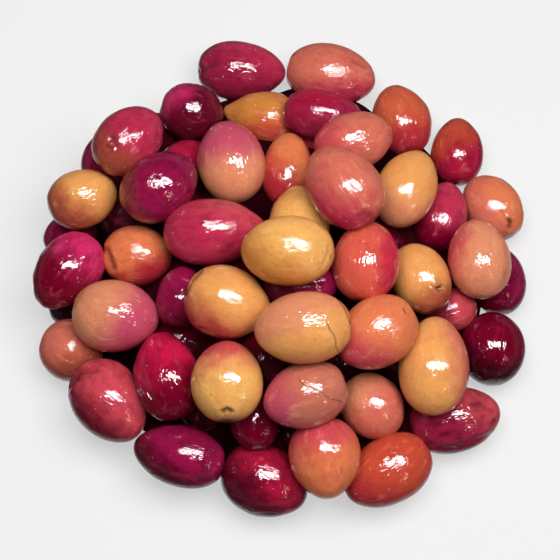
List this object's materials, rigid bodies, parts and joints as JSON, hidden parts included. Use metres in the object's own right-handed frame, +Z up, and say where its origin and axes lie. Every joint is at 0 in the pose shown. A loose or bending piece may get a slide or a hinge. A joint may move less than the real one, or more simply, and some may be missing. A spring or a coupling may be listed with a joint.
{
  "type": "heap of olives",
  "caption": "Loose round heap of whole table olives, about three layers deep, lying on a flat underside with no dish.",
  "frame": {"origin": "middle of the heap's box, on the surface it lies on", "axes": "+Z up, +X to the right and +Y to the back as the picture shows the heap"},
  "size_m": [0.1415, 0.1456, 0.0557],
  "materials": {
    "olive_skin": "wet glossy skin, from amber and coral to crimson and dark wine"
  },
  "bodies": {
    "root": {"olive_heap": "olive_skin"}
  },
  "joints": []
}
